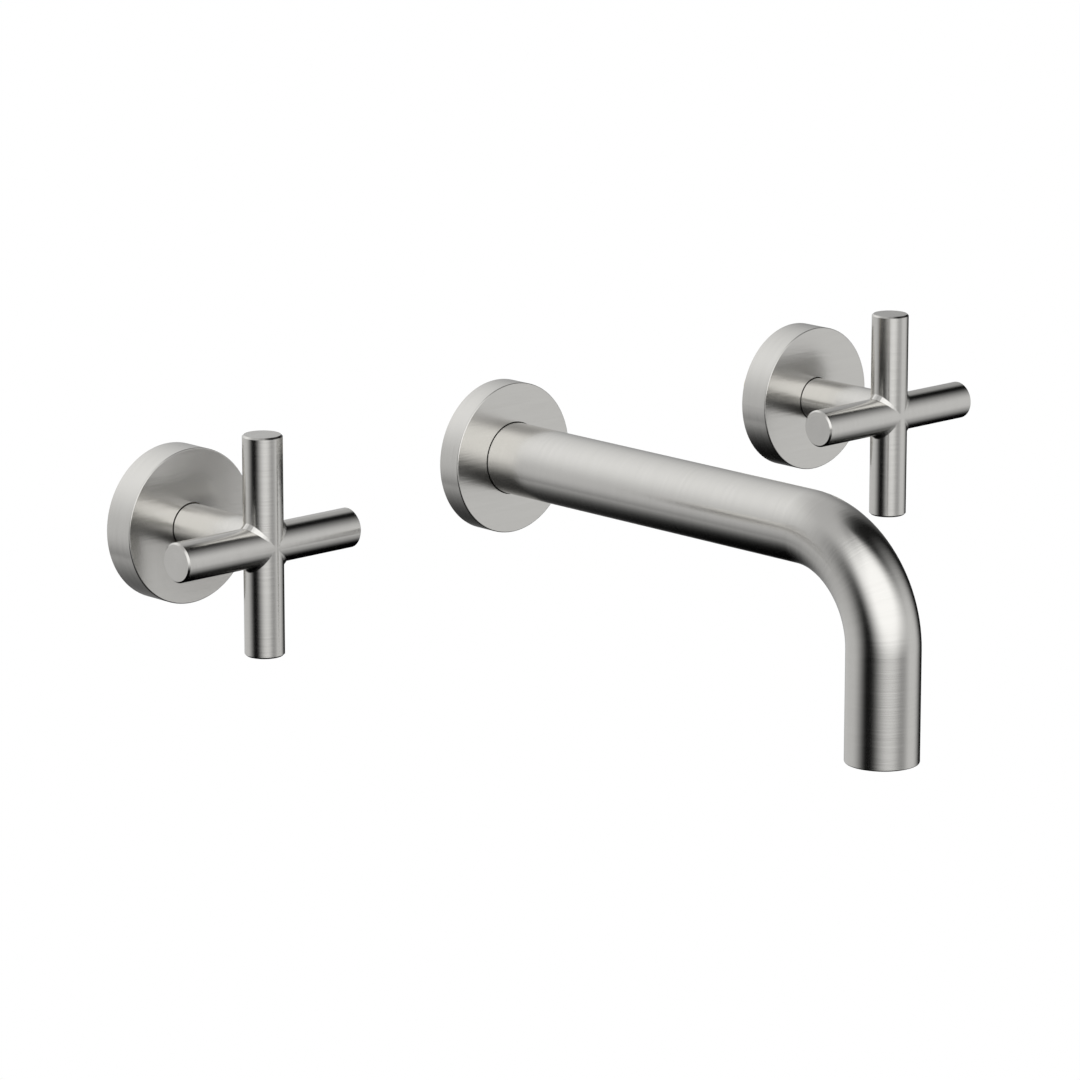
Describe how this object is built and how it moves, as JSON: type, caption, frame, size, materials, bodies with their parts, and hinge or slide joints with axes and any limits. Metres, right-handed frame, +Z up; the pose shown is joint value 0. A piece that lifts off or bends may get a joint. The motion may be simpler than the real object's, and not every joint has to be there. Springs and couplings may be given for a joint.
{
  "type": "wall mounted bath faucet",
  "caption": "Wall mounted bath faucet: quarter-turn cross handles on round flanges, either side of a fixed tube spout that runs out and bends down.",
  "frame": {"origin": "where the spout's axis meets the face of the finished wall", "axes": "+X along the wall to the right as seen from the front, +Y into the wall, +Z up"},
  "size_m": [0.3808, 0.2233, 0.1136],
  "materials": {
    "nickel": "brushed nickel",
    "brass": "machined",
    "steel": "plain stainless",
    "rubber": "matte",
    "ceramic": "lapped",
    "acetal": "matte",
    "fibre": "matte vulcanised fibre",
    "grey_plastic": "matte"
  },
  "bodies": {
    "fixed": {"spout_tube": "nickel", "spout_flange": "nickel", "spout_flange_gasket": "rubber", "spout_flange_o_ring": "rubber", "spout_nipple": "brass", "spout_nipple_washer": "fibre", "spout_nipple_o_rings": "rubber", "spout_set_screw": "steel", "aerator_shell": "brass", "aerator_honeycomb": "grey_plastic", "aerator_jet_disc": "acetal", "aerator_screen": "steel", "aerator_washer": "rubber", "hot_stem_glide_ring": "acetal", "hot_fixed_disc": "ceramic", "hot_seat_seal": "rubber", "hot_bonnet": "brass", "hot_bonnet_washer": "fibre", "hot_flange": "nickel", "hot_flange_gasket": "rubber", "hot_flange_holder": "acetal", "hot_flange_holder_o_ring": "rubber", "cold_stem_glide_ring": "acetal", "cold_fixed_disc": "ceramic", "cold_seat_seal": "rubber", "cold_bonnet": "brass", "cold_bonnet_washer": "fibre", "cold_flange": "nickel", "cold_flange_gasket": "rubber", "cold_flange_holder": "acetal", "cold_flange_holder_o_ring": "rubber"},
    "hot_handle": {"hot_handle_cross": "nickel", "hot_handle_insert": "brass", "hot_handle_set_screw": "steel", "hot_stem": "brass", "hot_stem_clip": "steel", "hot_stem_o_rings": "rubber", "hot_moving_disc": "ceramic"},
    "cold_handle": {"cold_handle_cross": "nickel", "cold_handle_insert": "brass", "cold_handle_set_screw": "steel", "cold_stem": "brass", "cold_stem_clip": "steel", "cold_stem_o_rings": "rubber", "cold_moving_disc": "ceramic"}
  },
  "joints": [
    {"name": "hot_handle_turn", "type": "hinge", "parent": "fixed", "child": "hot_handle", "pos_m": [-0.1524, -0.05, 0], "axis": [0, -1, 0], "range_deg": [0, 90]},
    {"name": "cold_handle_turn", "type": "hinge", "parent": "fixed", "child": "cold_handle", "pos_m": [0.1524, -0.05, 0], "axis": [0, 1, 0], "range_deg": [0, 90]}
  ]
}
